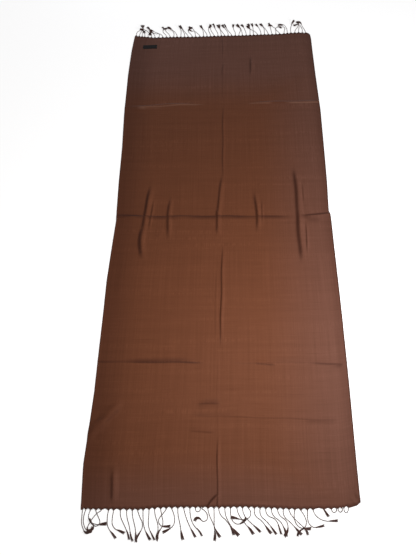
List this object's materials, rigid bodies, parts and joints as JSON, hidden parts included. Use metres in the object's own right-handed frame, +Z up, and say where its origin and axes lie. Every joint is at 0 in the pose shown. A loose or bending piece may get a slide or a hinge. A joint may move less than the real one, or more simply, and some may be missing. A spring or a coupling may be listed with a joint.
{
  "type": "fringed shawl",
  "caption": "Long plain woven shawl lying flat, with pressed fold creases, a blank woven label at one end and a fringe of knotted tassels along both ends.",
  "frame": {"origin": "on the surface that the shawl lies on, under the middle of the cloth", "axes": "+Z up out of the cloth, +Y along the shawl towards the end with the label, +X across it to the right"},
  "size_m": [0.7093, 1.7906, 0.0094],
  "materials": {
    "cloth": "warm mid-brown fine plain weave in a silky yarn, soft satin sheen, faint weft slubs and pressed creases",
    "fringe_yarn": "darker brown twisted two-ply cords with small knots and loose brush ends",
    "label_ribbon": "blank black woven satin ribbon"
  },
  "bodies": {
    "root": {"cloth_panel": "cloth", "fringe_near": "fringe_yarn", "fringe_far": "fringe_yarn", "label": "label_ribbon"}
  },
  "joints": []
}
